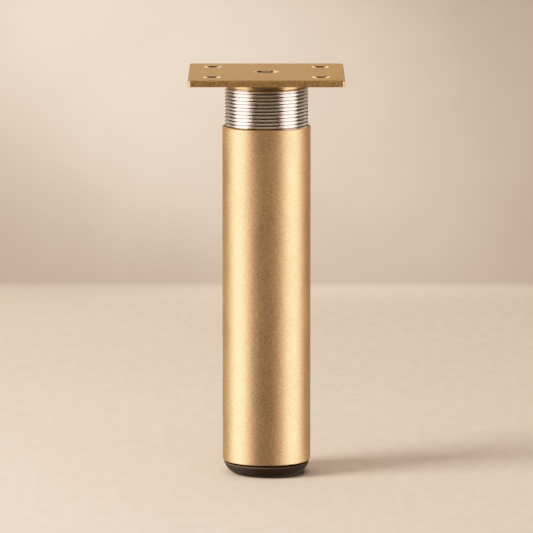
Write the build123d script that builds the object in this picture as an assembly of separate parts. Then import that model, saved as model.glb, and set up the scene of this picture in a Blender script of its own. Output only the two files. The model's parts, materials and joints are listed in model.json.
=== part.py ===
from build123d import *
import os

# Adjustable furniture leg. A gold tube on a swivel foot turns on a threaded neck that hangs from a mounting plate,
# and so raises or lowers the plate. The leg stands on z = 0 along the Z axis, and sizes are in millimetres.

# Leg tube
tube_diameter = 50.8
tube_length = 194.0
tube_wall = 2.5
tube_edge = 0.35

# Thread between neck and tube
thread_pitch = 2.0
thread_wall = 1.2
thread_clearance = 0.2
thread_runout = 2.0

# Threaded neck
neck_length = 44.0
neck_shown = 22.9
neck_wall = 3.8
neck_head = 11.0

# Mounting plate
plate_width = 89.0
plate_thickness = 3.9
plate_corner = 2.0
plate_edge = 0.5
boss_diameter = 46.0
boss_height = 4.2
hole_spacing_x = 62.0
hole_spacing_y = 53.0
hole_diameter = 5.0
hole_sink_diameter = 9.4
hole_relief_depth = 0.3

# Register that centres the neck on the plate's boss
register_diameter = 30.0
register_height = 2.0
register_clearance = 0.05
register_depth_clearance = 0.3

# Countersunk socket screw through the plate into the neck
screw_diameter = 6.0
screw_length = 15.0
screw_head_diameter = 12.0
screw_hole_clearance = 0.3
screw_sunk = 0.9
screw_tip = 0.6
socket_across_flats = 4.0
socket_depth = 2.2

# Foot
foot_height = 6.9
foot_diameter = 49.2
foot_base_diameter = 37.2
foot_bulge = 1.0
foot_rim_edge = 0.4
foot_floor = 3.4
shadow_gap = 1.1
shadow_inset = 0.6
spigot_height = 20.0
spigot_clearance = 0.1
spigot_wall = 2.4
finger_count = 6
finger_slot = 3.0
finger_length = 12.0
barb_height = 0.6
barb_length = 4.4
groove_clearance = 0.3
rib_thickness = 1.8
rib_height = 9.0

# Radii and levels that follow from the sizes above
tube_radius = tube_diameter / 2
bore_radius = tube_radius - tube_wall
mouth_radius = tube_radius - thread_wall
crest_radius = mouth_radius - thread_clearance
thread_depth = 0.6134 * thread_pitch
root_radius = crest_radius - thread_depth
screw_radius = screw_diameter / 2
spigot_radius = bore_radius - spigot_clearance
barb_radius = spigot_radius + barb_height
tube_bottom = foot_height + shadow_gap
tube_top = tube_bottom + tube_length
neck_top = tube_top + neck_shown
neck_bottom = neck_top - neck_length
plate_bottom = neck_top + boss_height
plate_top = plate_bottom + plate_thickness
screw_top = plate_top - screw_sunk
spigot_top = tube_bottom + spigot_height
barb_bottom = spigot_top - barb_length


def turned(*half_section):
    """A solid turned about Z from the (radius, height) corners of its half section."""
    return revolve(Plane.XZ * make_face(Polyline(*half_section, close=True)), Axis.Z)


def post(radius, bottom, top):
    """A plain round post on the Z axis between two heights."""
    return turned((0, bottom), (radius, bottom), (radius, top), (0, top))


def make_leg_tube():
    """Tube bored out at the top for the neck's thread and grooved near the bottom for the foot's barbs."""
    mouth_bottom = tube_top - neck_length - boss_height - thread_runout
    groove_radius = barb_radius + groove_clearance
    groove_top = barb_bottom + barb_length / 2
    groove_bottom = barb_bottom - groove_clearance
    return turned(
        (bore_radius + tube_edge, tube_bottom),
        (tube_radius - tube_edge, tube_bottom),
        (tube_radius, tube_bottom + tube_edge),
        (tube_radius, tube_top - tube_edge),
        (tube_radius - tube_edge, tube_top),
        (mouth_radius + tube_edge, tube_top),
        (mouth_radius, tube_top - tube_edge),
        (mouth_radius, mouth_bottom),
        (bore_radius, mouth_bottom - mouth_radius + bore_radius),
        (bore_radius, groove_top),
        (groove_radius, groove_top),
        (groove_radius, groove_bottom),
        (bore_radius, groove_bottom),
        (bore_radius, tube_bottom + tube_edge),
    )


def make_threaded_neck():
    """Steel sleeve of the thread's outer diameter, its ends chamfered to the thread's root, with a thick tapped head."""
    recess_bottom = neck_top - register_height - register_depth_clearance
    head_bottom = neck_top - neck_head
    bore = root_radius - neck_wall
    neck = turned(
        (bore, neck_bottom),
        (root_radius, neck_bottom),
        (crest_radius, neck_bottom + thread_depth),
        (crest_radius, neck_top - thread_depth),
        (root_radius, neck_top),
        (0, neck_top),
        (0, head_bottom),
        (bore, head_bottom),
    )
    neck -= post(register_diameter / 2 + register_clearance, recess_bottom, neck_top)
    neck -= post(screw_radius, head_bottom, recess_bottom)
    return neck


def make_mounting_plate():
    """Cast plate with its top edges eased, a round boss and register below, four screw holes and the centre hole."""
    slab = Pos(0, 0, plate_bottom) * extrude(RectangleRounded(plate_width, plate_width, plate_corner), plate_thickness)
    slab = chamfer(slab.faces().sort_by(Axis.Z)[-1].edges(), plate_edge)
    boss_radius = boss_diameter / 2
    register_bottom = neck_top - register_height
    slab += turned(
        (0, register_bottom),
        (register_diameter / 2, register_bottom),
        (register_diameter / 2, neck_top),
        (boss_radius, neck_top),
        (boss_radius, plate_bottom),
        (0, plate_bottom),
    )
    hole_radius = hole_diameter / 2
    sink_radius = hole_sink_diameter / 2
    hole = turned(
        (0, plate_bottom),
        (sink_radius, plate_bottom),
        (hole_radius, plate_bottom + sink_radius - hole_radius),
        (hole_radius, plate_top - hole_relief_depth),
        (sink_radius, plate_top),
        (0, plate_top),
    )
    for place in GridLocations(hole_spacing_x, hole_spacing_y, 2, 2):
        slab -= place * hole
    centre_radius = screw_radius + screw_hole_clearance
    centre_sink_radius = screw_head_diameter / 2 + screw_sunk
    slab -= turned(
        (0, register_bottom),
        (centre_radius, register_bottom),
        (centre_radius, plate_top - centre_sink_radius + centre_radius),
        (centre_sink_radius, plate_top),
        (0, plate_top),
    )
    return slab


def make_plate_screw():
    """Countersunk screw with a hexagon socket, seated in the plate's centre hole."""
    head_radius = screw_head_diameter / 2
    tip = screw_top - screw_length
    screw = turned(
        (0, tip),
        (screw_radius - screw_tip, tip),
        (screw_radius, tip + screw_tip),
        (screw_radius, screw_top - head_radius + screw_radius),
        (head_radius, screw_top),
        (0, screw_top),
    )
    socket = RegularPolygon(socket_across_flats / 2, 6, major_radius=False)
    return screw - Pos(0, 0, screw_top) * extrude(socket, -socket_depth)


def make_foot():
    """Moulded foot with a bowl-shaped side, a shadow gap, and a spigot whose barbed fingers snap into the tube."""
    base_radius = foot_base_diameter / 2
    rim_radius = foot_diameter / 2
    gap_radius = rim_radius - shadow_inset
    side = SagittaArc((base_radius, 0), (rim_radius, foot_height - foot_rim_edge), -foot_bulge)
    outline = Polyline(
        (rim_radius, foot_height - foot_rim_edge),
        (rim_radius - foot_rim_edge, foot_height),
        (gap_radius, foot_height),
        (gap_radius, tube_bottom),
        (spigot_radius, tube_bottom),
        (spigot_radius, barb_bottom),
        (barb_radius, barb_bottom),
        (spigot_radius - barb_height, spigot_top),
        (0, spigot_top),
        (0, 0),
        (base_radius, 0),
    )
    foot = revolve(Plane.XZ * make_face(side + outline), Axis.Z)
    cavity_radius = spigot_radius - spigot_wall
    foot -= post(cavity_radius, foot_floor, spigot_top)
    rib = Pos(0, 0, foot_floor) * Box(
        2 * cavity_radius + spigot_wall, rib_thickness, rib_height, align=(Align.CENTER, Align.CENTER, Align.MIN)
    )
    slot = Pos(0, 0, spigot_top - finger_length) * Box(
        barb_radius + spigot_wall, finger_slot, finger_length, align=(Align.MIN, Align.CENTER, Align.MIN)
    )
    for place in PolarLocations(0, finger_count):
        foot -= place * slot
    for place in PolarLocations(0, finger_count // 2, angular_range=180):
        foot += place * rib
    return foot


pieces = {
    "mounting_plate": make_mounting_plate(),
    "plate_screw": make_plate_screw(),
    "threaded_neck": make_threaded_neck(),
    "leg_tube": make_leg_tube(),
    "foot": make_foot(),
}

os.makedirs("parts", exist_ok=True)
for name, piece in pieces.items():
    export_step(piece, f"parts/{name}.step")
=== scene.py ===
import json
import math

import bmesh
import bpy
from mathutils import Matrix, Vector


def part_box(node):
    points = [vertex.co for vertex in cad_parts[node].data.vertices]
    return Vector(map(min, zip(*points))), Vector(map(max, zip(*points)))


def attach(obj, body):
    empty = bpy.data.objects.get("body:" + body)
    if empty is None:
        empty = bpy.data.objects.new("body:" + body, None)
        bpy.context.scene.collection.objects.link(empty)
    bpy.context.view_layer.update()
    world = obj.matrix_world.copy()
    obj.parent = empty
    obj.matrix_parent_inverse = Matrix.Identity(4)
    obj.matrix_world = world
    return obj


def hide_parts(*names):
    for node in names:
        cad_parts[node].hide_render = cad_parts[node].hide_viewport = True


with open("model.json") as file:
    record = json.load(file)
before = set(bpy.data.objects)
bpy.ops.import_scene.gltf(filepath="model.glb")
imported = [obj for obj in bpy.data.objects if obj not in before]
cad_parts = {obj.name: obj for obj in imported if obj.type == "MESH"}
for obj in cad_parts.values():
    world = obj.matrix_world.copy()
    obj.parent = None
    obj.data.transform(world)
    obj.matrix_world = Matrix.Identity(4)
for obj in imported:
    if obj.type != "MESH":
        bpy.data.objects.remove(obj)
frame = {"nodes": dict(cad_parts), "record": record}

# Adjustable furniture leg, dressed from the foot up around its CAD pieces and in their frame, in metres.
scene = bpy.context.scene
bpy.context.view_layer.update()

# Foot
# One injection moulding in dark brown-black plastic that the leg stands on. Spark-eroded grain in the mould
# leaves its side satin, and its barbed fingers snap into the tube's lower end, where it can swivel. A band
# just under its rim is painted lighter as a painted highlight, and the shadow gap above the rim is painted
# near black as painted shade, with its reflection turned off.

SHADOW_GAP = 0.0011
RIM_HEIGHT = 0.001
RIM_FADE = 0.0003
EDGE_MARGIN = 0.00005
tube_low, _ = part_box("leg_tube")
foot_top = tube_low.z - SHADOW_GAP
rim_low = foot_top - RIM_HEIGHT

FOOT_DARK = (0.020, 0.0145, 0.010)
FOOT_LIGHT = (0.034, 0.025, 0.0175)
# painted highlight: the colour of a band just under the foot's rim
RIM_PAINTED_HIGHLIGHT = (0.115, 0.086, 0.064)
# painted shade: the colour of the shadow gap between the rim and the tube
GAP_PAINTED_SHADE = (0.006, 0.0045, 0.003)
FOOT_GRAINS = 2200
FOOT_GRAIN_DEPTH = 0.00003
FOOT_SHINE = 0.07


def feed(tree, source, target):
    """Links an output to an input, or sets the input to a plain number or colour."""
    if isinstance(source, bpy.types.NodeSocket):
        tree.links.new(source, target)
    elif isinstance(source, tuple):
        target.default_value = (*source, 1)
    else:
        target.default_value = source


def new_material(name):
    """A material with its node tree, its shader and the piece's own Object coordinates."""
    material = bpy.data.materials.new(name)
    material.use_nodes = True
    tree = material.node_tree
    place = tree.nodes.new("ShaderNodeTexCoord").outputs["Object"]
    return material, tree, tree.nodes["Principled BSDF"], place


def add_split(tree, place):
    """The X, Y and Z of a place."""
    node = tree.nodes.new("ShaderNodeSeparateXYZ")
    tree.links.new(place, node.inputs["Vector"])
    return node.outputs["X"], node.outputs["Y"], node.outputs["Z"]


def add_noise(tree, place, grains, detail, roughness=0.5):
    """The value of a noise with so many grains a metre."""
    node = tree.nodes.new("ShaderNodeTexNoise")
    node.inputs["Scale"].default_value = grains
    node.inputs["Detail"].default_value = detail
    node.inputs["Roughness"].default_value = roughness
    tree.links.new(place, node.inputs["Vector"])
    return node.outputs["Fac"]


def add_range(tree, value, low, high, start=0.3, stop=0.7):
    """Maps a value from start..stop onto low..high."""
    node = tree.nodes.new("ShaderNodeMapRange")
    node.inputs["From Min"].default_value = start
    node.inputs["From Max"].default_value = stop
    node.inputs["To Min"].default_value = low
    node.inputs["To Max"].default_value = high
    tree.links.new(value, node.inputs["Value"])
    return node.outputs["Result"]


def add_mix(tree, share, first, second):
    """The colour that goes from a first to a second one as a share goes from 0 to 1."""
    node = tree.nodes.new("ShaderNodeMix")
    node.data_type = "RGBA"
    feed(tree, share, node.inputs["Factor"])
    feed(tree, first, node.inputs["A"])
    feed(tree, second, node.inputs["B"])
    return node.outputs["Result"]


def add_maths(tree, operation, *values):
    """The result of one step of arithmetic."""
    node = tree.nodes.new("ShaderNodeMath")
    node.operation = operation
    for value, target in zip(values, node.inputs):
        feed(tree, value, target)
    return node.outputs["Value"]


def add_bump(tree, shader, height, depth, share=1):
    """Roughens a shader's surface by a value, to a depth in metres, where the share isn't 0."""
    node = tree.nodes.new("ShaderNodeBump")
    node.inputs["Distance"].default_value = depth
    feed(tree, share, node.inputs["Strength"])
    tree.links.new(height, node.inputs["Height"])
    tree.links.new(node.outputs["Normal"], shader.inputs["Normal"])


def dress(node, material):
    """Gives a CAD node its one material."""
    mesh = frame["nodes"][node].data
    mesh.materials.clear()
    mesh.materials.append(material)


plastic, tree, shader, place = new_material("satin_dark_plastic")
level = add_split(tree, place)[2]
grain = add_noise(tree, place, FOOT_GRAINS, detail=2)
outside = add_maths(tree, "LESS_THAN", level, foot_top + EDGE_MARGIN)
# a band just under the rim is painted lighter, a painted highlight
above_side = add_range(tree, level, 0, 1, rim_low, rim_low + RIM_FADE)
rim_highlight_share = add_maths(tree, "MULTIPLY", above_side, outside)
foot_colour = add_mix(tree, add_range(tree, grain, 0, 1), FOOT_DARK, FOOT_LIGHT)
foot_colour = add_mix(tree, rim_highlight_share, foot_colour, RIM_PAINTED_HIGHLIGHT)
# the shadow gap above the rim is painted near black, painted shade
foot_colour = add_mix(tree, outside, GAP_PAINTED_SHADE, foot_colour)
tree.links.new(foot_colour, shader.inputs["Base Color"])
tree.links.new(add_range(tree, grain, low=0.42, high=0.56), shader.inputs["Roughness"])
# the gap's reflection is turned off too, part of its painted shade
tree.links.new(add_maths(tree, "MULTIPLY", outside, FOOT_SHINE), shader.inputs["Specular IOR Level"])
add_bump(tree, shader, grain, FOOT_GRAIN_DEPTH)
dress("foot", plastic)

# Leg tube
# Drawn aluminium tube, bead blasted to a fine even speckle and anodised satin gold. It is tapped at the top
# for the neck, and both its rims are lightly chamfered.

TUBE_DARK = (0.46, 0.315, 0.160)
TUBE_LIGHT = (1.0, 0.69, 0.357)
TUBE_GLANCING_TINT = (0.74, 0.70, 0.60)
TUBE_GRAINS = 2000
BLASTING_DEPTH = 0.00002
CLOUD_GRAINS = 60


def add_blasting(tree, place, grains):
    """The fine speckle of bead blasting, and a faint cloud from which the roughness comes."""
    speckle = add_noise(tree, place, grains, detail=2, roughness=0.6)
    cloud = add_noise(tree, place, CLOUD_GRAINS, detail=4)
    return speckle, add_range(tree, cloud, low=0.44, high=0.50)


anodising, tree, shader, place = new_material("gold_anodising")
speckle, rough = add_blasting(tree, place, TUBE_GRAINS)
gold = add_mix(tree, add_range(tree, speckle, 0, 1), TUBE_DARK, TUBE_LIGHT)
tree.links.new(gold, shader.inputs["Base Color"])
tree.links.new(rough, shader.inputs["Roughness"])
shader.inputs["Metallic"].default_value = 1
feed(tree, TUBE_GLANCING_TINT, shader.inputs["Specular Tint"])
add_bump(tree, shader, speckle, BLASTING_DEPTH)
dress("leg_tube", anodising)

# Threaded neck
# Turned steel sleeve with a right-hand thread of 2 mm pitch along its whole outside, chromed bright. Its
# thick head is recessed for the plate's register and tapped for the screw that holds the plate on it. The
# chrome is painted darker towards the thread's roots, painted shade in its grooves.

PITCH = 0.002
THREAD_DEPTH = 0.6134 * PITCH
CREST_ROUNDING = 0.0005
FLANK = math.radians(60)
NECK_WALL = 0.0038
NECK_HEAD = 0.011
RECESS_RADIUS = 0.01505
RECESS_DEPTH = 0.0023
SCREW_HOLE_RADIUS = 0.003
neck_low, neck_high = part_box("threaded_neck")
crest_radius = neck_high.x
root_radius = crest_radius - THREAD_DEPTH
bore_radius = root_radius - NECK_WALL

TURN_COLUMNS = 128
PITCH_ROWS = 20
SPARE_TURNS = 2
THREAD_WELD = 0.000002
NECK_WELD = 0.000005
SHARP_EDGE = math.radians(35)

# painted shade: the chrome's colour down in the thread's roots
CHROME_ROOT_PAINTED_SHADE = (0.50, 0.47, 0.435)
CHROME_CREST = (0.92, 0.91, 0.895)
CHROME_HAZE_GRAINS = 700
PAINTED_SHADE_SHARE = 0.1
BRIGHT_SHARE = 0.6


def thread_tree():
    """Geometry Nodes for a thread: a sheet rolled into a tube on Z, its rows climbing one pitch a turn."""
    tree = bpy.data.node_groups.new("rolled_thread", "GeometryNodeTree")
    sockets = {
        "Pitch": "Float",
        "Crest Radius": "Float",
        "Root Radius": "Float",
        "Rounding": "Float",
        "Bottom": "Float",
        "Top": "Float",
        "Turn Columns": "Int",
        "Pitch Rows": "Int",
        "Metal": "Material",
    }
    for name, kind in sockets.items():
        tree.interface.new_socket(name, in_out="INPUT", socket_type="NodeSocket" + kind)
    tree.interface.new_socket("Thread", in_out="OUTPUT", socket_type="NodeSocketGeometry")
    given = tree.nodes.new("NodeGroupInput").outputs

    def maths(operation, *values):
        """The result of one step of arithmetic in this tree."""
        return add_maths(tree, operation, *values)

    height = maths("SUBTRACT", given["Top"], given["Bottom"])
    turns = maths("ADD", maths("DIVIDE", height, given["Pitch"]), SPARE_TURNS)
    rows = maths("ROUND", maths("MULTIPLY", turns, given["Pitch Rows"]))
    sheet = tree.nodes.new("GeometryNodeMeshGrid")
    sheet.inputs["Size X"].default_value = 1
    sheet.inputs["Size Y"].default_value = 1
    tree.links.new(maths("ADD", given["Turn Columns"], 1), sheet.inputs["Vertices X"])
    tree.links.new(maths("ADD", rows, 1), sheet.inputs["Vertices Y"])
    x, y, _ = add_split(tree, tree.nodes.new("GeometryNodeInputPosition").outputs["Position"])
    round_share = maths("ADD", x, 0.5)
    climb = maths("MULTIPLY", maths("ADD", y, 0.5), turns)

    # the crest is an arc, and the flanks that touch it fall 60 degrees to the root
    off_crest = maths("ABSOLUTE", maths("SUBTRACT", maths("FRACT", climb), 0.5))
    off_crest = maths("MULTIPLY", off_crest, given["Pitch"])
    on_arc = maths("MINIMUM", off_crest, maths("MULTIPLY", given["Rounding"], math.sin(FLANK)))
    squares = maths("SUBTRACT", maths("POWER", given["Rounding"], 2), maths("POWER", on_arc, 2))
    arc_drop = maths("SUBTRACT", given["Rounding"], maths("SQRT", squares))
    flank_drop = maths("MULTIPLY", maths("SUBTRACT", off_crest, on_arc), math.tan(FLANK))
    drop = maths("ADD", arc_drop, flank_drop)
    profile = maths("MAXIMUM", maths("SUBTRACT", given["Crest Radius"], drop), given["Root Radius"])

    # both ends are cut square and chamfered at 45 degrees down to the root
    rise = maths("SUBTRACT", maths("ADD", climb, round_share), SPARE_TURNS / 2)
    level = maths("MINIMUM", maths("MAXIMUM", maths("MULTIPLY", rise, given["Pitch"]), 0), height)
    end_gap = maths("MINIMUM", level, maths("SUBTRACT", height, level))
    radius = maths("MINIMUM", profile, maths("ADD", given["Root Radius"], end_gap))
    angle = maths("MULTIPLY", round_share, math.tau)
    rolled = tree.nodes.new("ShaderNodeCombineXYZ")
    tree.links.new(maths("MULTIPLY", radius, maths("COSINE", angle)), rolled.inputs["X"])
    tree.links.new(maths("MULTIPLY", radius, maths("SINE", angle)), rolled.inputs["Y"])
    tree.links.new(maths("ADD", given["Bottom"], level), rolled.inputs["Z"])
    move = tree.nodes.new("GeometryNodeSetPosition")
    tree.links.new(sheet.outputs["Mesh"], move.inputs["Geometry"])
    tree.links.new(rolled.outputs["Vector"], move.inputs["Position"])

    weld = tree.nodes.new("GeometryNodeMergeByDistance")
    weld.inputs["Distance"].default_value = THREAD_WELD
    tree.links.new(move.outputs["Geometry"], weld.inputs["Geometry"])
    real = tree.nodes.new("GeometryNodeRealizeInstances")
    tree.links.new(weld.outputs["Geometry"], real.inputs["Geometry"])
    metal = tree.nodes.new("GeometryNodeSetMaterial")
    tree.links.new(real.outputs["Geometry"], metal.inputs["Geometry"])
    tree.links.new(given["Metal"], metal.inputs["Material"])
    tree.links.new(metal.outputs["Geometry"], tree.nodes.new("NodeGroupOutput").inputs["Thread"])
    return tree


def grown(name, tree, **values):
    """A plain mesh from a Geometry Nodes tree, with the modifier's inputs set by name."""
    host = bpy.data.objects.new(name, bpy.data.meshes.new(name))
    scene.collection.objects.link(host)
    modifier = host.modifiers.new(name, "NODES")
    modifier.node_group = tree
    for socket in tree.interface.items_tree:
        if socket.in_out == "INPUT":
            modifier[socket.identifier] = values[socket.name.replace(" ", "_").lower()]
    ready = host.evaluated_get(bpy.context.evaluated_depsgraph_get())
    mesh = bpy.data.meshes.new_from_object(ready)
    bpy.data.objects.remove(host)
    return mesh


def add_turned(work, half_section, columns):
    """Adds to a bmesh the skin turned about Z from (radius, height) points, first to last."""
    rings = []
    for radius, height in half_section:
        ring = []
        for k in range(columns):
            angle = math.tau * k / columns
            ring.append(work.verts.new((radius * math.cos(angle), radius * math.sin(angle), height)))
        rings.append(ring)
    for first, second in zip(rings, rings[1:]):
        for k in range(columns):
            n = (k + 1) % columns
            work.faces.new((first[k], first[n], second[n], second[k]))


def add_distance(tree, across, along):
    """How far a point is from an axis, from its two distances."""
    squares = [add_maths(tree, "POWER", side, 2) for side in (across, along)]
    return add_maths(tree, "SQRT", add_maths(tree, "ADD", *squares))


chrome, tree, shader, place = new_material("bright_chrome")
x, y, _ = add_split(tree, place)
off_axis = add_distance(tree, x, y)
# the chrome is painted darker from the crests down to the roots, painted shade in the grooves
painted_shade_radius = root_radius + PAINTED_SHADE_SHARE * THREAD_DEPTH
bright_radius = root_radius + BRIGHT_SHARE * THREAD_DEPTH
on_crest = add_range(tree, off_axis, 0, 1, painted_shade_radius, bright_radius)
chrome_with_painted_shade = add_mix(tree, on_crest, CHROME_ROOT_PAINTED_SHADE, CHROME_CREST)
haze = add_noise(tree, place, CHROME_HAZE_GRAINS, detail=3)
tree.links.new(chrome_with_painted_shade, shader.inputs["Base Color"])
tree.links.new(add_range(tree, haze, low=0.17, high=0.23), shader.inputs["Roughness"])
shader.inputs["Metallic"].default_value = 1

neck_mesh = grown(
    "neck_with_thread",
    thread_tree(),
    pitch=PITCH,
    crest_radius=crest_radius,
    root_radius=root_radius,
    rounding=CREST_ROUNDING,
    bottom=neck_low.z,
    top=neck_high.z,
    turn_columns=TURN_COLUMNS,
    pitch_rows=PITCH_ROWS,
    metal=chrome,
)
work = bmesh.new()
work.from_mesh(neck_mesh)
add_turned(work, [
    (root_radius, neck_high.z),
    (RECESS_RADIUS, neck_high.z),
    (RECESS_RADIUS, neck_high.z - RECESS_DEPTH),
    (SCREW_HOLE_RADIUS, neck_high.z - RECESS_DEPTH),
    (SCREW_HOLE_RADIUS, neck_high.z - NECK_HEAD),
    (bore_radius, neck_high.z - NECK_HEAD),
    (bore_radius, neck_low.z),
    (root_radius, neck_low.z),
], TURN_COLUMNS)
bmesh.ops.remove_doubles(work, verts=work.verts, dist=NECK_WELD)
bmesh.ops.recalc_face_normals(work, faces=work.faces)
for face in work.faces:
    face.smooth = True
work.to_mesh(neck_mesh)
work.free()
neck_mesh.set_sharp_from_angle(angle=SHARP_EDGE)
neck = bpy.data.objects.new("neck_with_thread", neck_mesh)
scene.collection.objects.link(neck)
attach(neck, "mount")
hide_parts("threaded_neck")

# Mounting plate
# Cast plate with a round boss under it, blasted and finished in the tube's gold. Its boss is turned and
# painted darker as painted shade under the plate, its corners are painted paler as a painted highlight, the
# sinks of its four screw holes and its centre hole are cut bright, and the bores of the screw holes are
# painted near black as painted shade.

MM = 0.001
PLATE_THICKNESS = 0.0039
PLATE_CORNER = 0.002
_, plate_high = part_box("mounting_plate")
boss_top = plate_high.z - PLATE_THICKNESS - 2 * EDGE_MARGIN
corner_start = plate_high.x - PLATE_CORNER
holes = next(mount["dims"] for mount in frame["record"]["mounts"] if mount["name"] == "screw_holes")
hole_x = holes["spacing_x_mm"] / 2 * MM
hole_y = holes["spacing_y_mm"] / 2 * MM

# radii of the cut finish, and of the painted shade in the screw holes' bores, that reach a little past the
# cuts
HOLE_SINK = 0.0049
BORE_SHADE_RADIUS = 0.0028
CENTRE_SINK = 0.0071

PLATE_DARK = (0.28, 0.178, 0.062)
PLATE_LIGHT = (0.955, 0.62, 0.25)
# painted shade: the boss's turned gold, darker under the plate
TURNED_GOLD_AND_PAINTED_SHADE = (0.45, 0.31, 0.14)
# painted highlight: the paler colour of the plate's corners
CORNER_PAINTED_HIGHLIGHT = (0.57, 0.405, 0.21)
CUT_GOLD = (0.78, 0.56, 0.29)
# painted shade: the colour of the screw holes' bores
BORE_PAINTED_SHADE = (0.03, 0.022, 0.016)
PLATE_GRAINS = 1700
TURNED_SMOOTHER = 0.14
CUT_SMOOTHER = 0.33

casting, tree, shader, place = new_material("gold_casting")
x, y, level = add_split(tree, place)
across = add_maths(tree, "ABSOLUTE", x)
along = add_maths(tree, "ABSOLUTE", y)
hole_across = add_maths(tree, "SUBTRACT", across, hole_x)
hole_along = add_maths(tree, "SUBTRACT", along, hole_y)
off_hole = add_distance(tree, hole_across, hole_along)
off_axis = add_distance(tree, across, along)
in_sink = add_maths(tree, "LESS_THAN", off_hole, HOLE_SINK)
in_centre_sink = add_maths(tree, "LESS_THAN", off_axis, CENTRE_SINK)
sunk = add_maths(tree, "MAXIMUM", in_sink, in_centre_sink)
# where the bores' painted shade, the boss and the corners' painted highlight go
bore_shade_share = add_maths(tree, "LESS_THAN", off_hole, BORE_SHADE_RADIUS)
on_boss = add_maths(tree, "LESS_THAN", level, boss_top)
corner_highlight_share = add_maths(tree, "GREATER_THAN", add_maths(tree, "MINIMUM", across, along), corner_start)
speckle, rough = add_blasting(tree, place, PLATE_GRAINS)
gold = add_mix(tree, add_range(tree, speckle, 0, 1), PLATE_DARK, PLATE_LIGHT)
# the boss is painted darker as painted shade, the corners paler as a painted highlight
gold = add_mix(tree, on_boss, gold, TURNED_GOLD_AND_PAINTED_SHADE)
gold = add_mix(tree, corner_highlight_share, gold, CORNER_PAINTED_HIGHLIGHT)
gold = add_mix(tree, sunk, gold, CUT_GOLD)
# the bores are painted near black as painted shade
gold = add_mix(tree, bore_shade_share, gold, BORE_PAINTED_SHADE)
rough = add_maths(tree, "SUBTRACT", rough, add_maths(tree, "MULTIPLY", on_boss, TURNED_SMOOTHER))
rough = add_maths(tree, "SUBTRACT", rough, add_maths(tree, "MULTIPLY", sunk, CUT_SMOOTHER))
tree.links.new(gold, shader.inputs["Base Color"])
tree.links.new(rough, shader.inputs["Roughness"])
shader.inputs["Metallic"].default_value = 1
add_bump(tree, shader, speckle, BLASTING_DEPTH, add_maths(tree, "SUBTRACT", 1, sunk))
dress("mounting_plate", casting)

# Plate screw
# Countersunk steel screw with a hexagon socket, forged and blackened. It sits in the plate's centre hole
# and holds the plate on the neck.

SCREW_DARK = (0.085, 0.068, 0.052)
SCREW_LIGHT = (0.15, 0.122, 0.096)
SCREW_CLOUD_GRAINS = 500

blackening, tree, shader, place = new_material("blackened_steel")
cloud = add_noise(tree, place, SCREW_CLOUD_GRAINS, detail=3)
black = add_mix(tree, add_range(tree, cloud, 0, 1), SCREW_DARK, SCREW_LIGHT)
tree.links.new(black, shader.inputs["Base Color"])
tree.links.new(add_range(tree, cloud, low=0.30, high=0.42), shader.inputs["Roughness"])
shader.inputs["Metallic"].default_value = 1
dress("plate_screw", blackening)

# Stage
# A pale warm floor and a plain wall behind it. Glowing cards at the sides, in front, behind and above make
# the metal's highlights, a soft lamp at the left throws the shadow, and a long lens looks slightly down.

AIM = Vector((0, 0, 0.1202))
WALL_Y = 0.69
COVE_RADIUS = 0.006
COVE_STEPS = 6
STAGE_HALF = 2.0
FLOOR_DARK = (0.737, 0.636, 0.545)
FLOOR_LIGHT = (0.803, 0.699, 0.605)
FLOOR_MOTTLE = 130
WALL_DARK = (0.525, 0.463, 0.414)
WALL_LIGHT = (0.581, 0.520, 0.469)
WALL_MOTTLE = 9
WALL_SKIRT = (0.70, 0.607, 0.525)
TROWEL_STRETCH = (1, 0.35, 1)


def add_sheet(name, corners, faces, material):
    """A sheet of the stage, which the metal doesn't mirror."""
    mesh = bpy.data.meshes.new(name)
    mesh.from_pydata(corners, [], faces)
    mesh.materials.append(material)
    mesh.shade_smooth()
    sheet = bpy.data.objects.new(name, mesh)
    sheet.visible_glossy = False
    scene.collection.objects.link(sheet)
    return sheet


def add_backdrop(name, outline, material):
    """A sheet as wide as the stage that follows an outline of (y, z) points."""
    corners = [(x, y, z) for y, z in outline for x in (-STAGE_HALF, STAGE_HALF)]
    faces = [(2 * k, 2 * k + 1, 2 * k + 3, 2 * k + 2) for k in range(len(outline) - 1)]
    add_sheet(name, corners, faces, material)


def new_paint(name, dark, light, mottle_grains, skirt=None):
    """Matt mottled paint that is clear from behind, with a skirt of another colour where one is given."""
    material, tree, shader, place = new_material(name)
    trowelled = tree.nodes.new("ShaderNodeMapping")
    trowelled.inputs["Scale"].default_value = TROWEL_STRETCH
    tree.links.new(place, trowelled.inputs["Vector"])
    mottle = add_noise(tree, trowelled.outputs["Vector"], mottle_grains, detail=6, roughness=0.6)
    paint = add_mix(tree, add_range(tree, mottle, 0, 1), dark, light)
    if skirt:
        level = add_split(tree, place)[2]
        paint = add_mix(tree, add_range(tree, level, 1, 0, 0, COVE_RADIUS), paint, skirt)
    tree.links.new(paint, shader.inputs["Base Color"])
    shader.inputs["Roughness"].default_value = 0.9
    shader.inputs["Specular IOR Level"].default_value = 0.1
    clear = tree.nodes.new("ShaderNodeBsdfTransparent")
    sides = tree.nodes.new("ShaderNodeMixShader")
    tree.links.new(tree.nodes.new("ShaderNodeNewGeometry").outputs["Backfacing"], sides.inputs["Fac"])
    tree.links.new(shader.outputs["BSDF"], sides.inputs[1])
    tree.links.new(clear.outputs["BSDF"], sides.inputs[2])
    tree.links.new(sides.outputs["Shader"], tree.nodes["Material Output"].inputs["Surface"])
    return material


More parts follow.
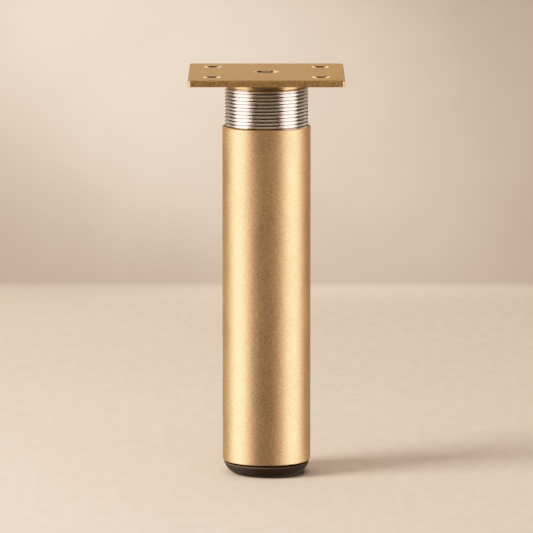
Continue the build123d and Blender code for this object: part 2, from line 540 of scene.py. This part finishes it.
floor_paint = new_paint("floor_paint", FLOOR_DARK, FLOOR_LIGHT, FLOOR_MOTTLE)
wall_paint = new_paint("wall_paint", WALL_DARK, WALL_LIGHT, WALL_MOTTLE, WALL_SKIRT)
cove = []
for k in range(COVE_STEPS + 1):
    bend = math.pi / 2 * k / COVE_STEPS
    back = WALL_Y - COVE_RADIUS + COVE_RADIUS * math.sin(bend)
    cove.append((back, COVE_RADIUS - COVE_RADIUS * math.cos(bend)))
add_backdrop("floor", [(-STAGE_HALF, 0), cove[0]], floor_paint)
add_backdrop("wall", cove + [(WALL_Y, STAGE_HALF)], wall_paint)

SIDE_GLOW = (1.0, 0.81, 0.74)
LOW_GLOW = (1.0, 0.82, 0.68)
REAR_GLOW = (1.0, 0.82, 0.66)
STRIP_GLOW = (1.0, 0.80, 0.56)
BACK_GLOW = (1.0, 0.72, 0.42)
EDGE_GLOW = (1.0, 0.77, 0.60)
TOP_GLOW = (1.0, 0.84, 0.68)
FRONT_GLOW = (1.0, 0.81, 0.58)


def at_bearing(azimuth, elevation, distance):
    """A place at an azimuth from the camera's side of the leg, and an elevation."""
    a, e = math.radians(azimuth), math.radians(elevation)
    return AIM + Vector((math.sin(a) * math.cos(e), -math.cos(a) * math.cos(e), math.sin(e))) * distance


def add_card(name, place, width, tall, colour, strength):
    """A glowing card that faces the leg and that only the metal sees."""
    material = bpy.data.materials.new(name)
    material.use_nodes = True
    tree = material.node_tree
    glow = tree.nodes.new("ShaderNodeEmission")
    glow.inputs["Color"].default_value = (*colour, 1)
    glow.inputs["Strength"].default_value = strength
    tree.links.new(glow.outputs["Emission"], tree.nodes["Material Output"].inputs["Surface"])
    material.cycles.emission_sampling = "NONE"
    turn = (AIM - place).to_track_quat("Z", "Y")
    signs = [(-1, -1), (1, -1), (1, 1), (-1, 1)]
    corners = [place + turn @ Vector((x * width / 2, y * tall / 2, 0)) for x, y in signs]
    card = add_sheet(name, corners, [(0, 1, 2, 3)], material)
    card.visible_glossy = True
    card.visible_camera = False
    card.visible_diffuse = False
    card.visible_shadow = False


add_card("left_card", at_bearing(-76.4, -9, 1.24), 1.01, 2.85, SIDE_GLOW, 4.9)
add_card("right_card", at_bearing(72.5, -9, 1.24), 0.92, 2.75, SIDE_GLOW, 4.7)
add_card("low_left_card", at_bearing(-116, -42, 1.0), 0.5, 0.5, LOW_GLOW, 2.8)
add_card("low_right_card", at_bearing(122, -40, 1.0), 0.45, 0.45, LOW_GLOW, 0.6)
add_card("rear_card", at_bearing(180, -25, 1.5), 2.6, 1.7, REAR_GLOW, 0.60)
add_card("back_strip", at_bearing(-178.5, 6, 1.3), 0.25, 0.41, STRIP_GLOW, 3.2)
add_card("back_card", at_bearing(180, 48, 1.3), 1.20, 0.94, BACK_GLOW, 1.15)
add_card("left_edge_card", at_bearing(-130, 24, 1.3), 1.15, 0.5, EDGE_GLOW, 1.3)
add_card("right_edge_card", at_bearing(130, 24, 1.3), 1.15, 0.5, EDGE_GLOW, 1.35)
add_card("glint_card", at_bearing(-130, 45, 1.3), 0.8, 0.5, TOP_GLOW, 1.8)
add_card("ceiling_card", at_bearing(0, 88, 1.4), 1.20, 0.5, TOP_GLOW, 0.42)
add_card("front_card", at_bearing(0, 44, 1.3), 1.30, 1.96, FRONT_GLOW, 1.02)

SUN_WARM = (1.0, 0.86, 0.74)
FILL_WARM = (1.0, 0.91, 0.84)
DIM_ROOM = (0.035, 0.024, 0.016)
SPOT_BULB = 0.05


def place_lamp(name, data, place, aim, watts, colour):
    """Hangs a lamp for the floor, wall and foot, which the metal doesn't mirror."""
    data.energy = watts
    data.color = colour
    lamp = bpy.data.objects.new(name, data)
    lamp.location = place
    lamp.rotation_mode = "QUATERNION"
    lamp.rotation_quaternion = (Vector(aim) - Vector(place)).to_track_quat("-Z", "Y")
    lamp.visible_glossy = False
    scene.collection.objects.link(lamp)


def add_soft_lamp(name, place, aim, side, watts, colour):
    """A square soft lamp."""
    data = bpy.data.lights.new(name, "AREA")
    data.size = side
    place_lamp(name, data, place, aim, watts, colour)


def add_spot(name, place, aim, cone, watts, colour):
    """A spot whose beam fades out over the whole of its cone."""
    data = bpy.data.lights.new(name, "SPOT")
    data.spot_size = math.radians(cone)
    data.spot_blend = 1
    data.shadow_soft_size = SPOT_BULB
    place_lamp(name, data, place, aim, watts, colour)


add_soft_lamp("key_lamp", at_bearing(-66.5, 33, 1.4), (0, 0, 0.05), 0.6, 29.5, SUN_WARM)
add_soft_lamp("top_lamp", (0, -0.2, 1.9), (0, 0.2, 0), 1.8, 23.5, FILL_WARM)
add_spot("wall_spot", (-0.84, 0.14, 0.50), (-0.05, WALL_Y, 0.152), 17.0, 77, SUN_WARM)
world = bpy.data.worlds.new("studio")
world.use_nodes = True
world.node_tree.nodes["Background"].inputs["Color"].default_value = (*DIM_ROOM, 1)
scene.world = world

CAMERA_ELEVATION = 8.486
CAMERA_DISTANCE = 3
camera_data = bpy.data.cameras.new("camera")
camera_data.sensor_width = 36
camera_data.lens = 351.7
camera_data.clip_end = 30
camera = bpy.data.objects.new("camera", camera_data)
scene.collection.objects.link(camera)
scene.camera = camera
camera.location = at_bearing(0, CAMERA_ELEVATION, CAMERA_DISTANCE)
camera.rotation_mode = "QUATERNION"
camera.rotation_quaternion = (AIM - camera.location).to_track_quat("-Z", "Y")

# bright tones roll off softly, as they do on film
FILM_WHITE = 3.0
FILM_SLOPE = 0.9475
FILM_BEND = 0.285
scene.view_settings.view_transform = "Standard"
scene.view_settings.use_curve_mapping = True
film = scene.view_settings.curve_mapping
film.white_level = (FILM_WHITE, FILM_WHITE, FILM_WHITE)
for light in (0.1, 0.28, 0.5, 0.83, 1.37, 2.0):
    tone = 1 - math.exp(-FILM_SLOPE * light - FILM_BEND * light * light)
    film.curves[3].points.new(light / FILM_WHITE, tone)
film.update()
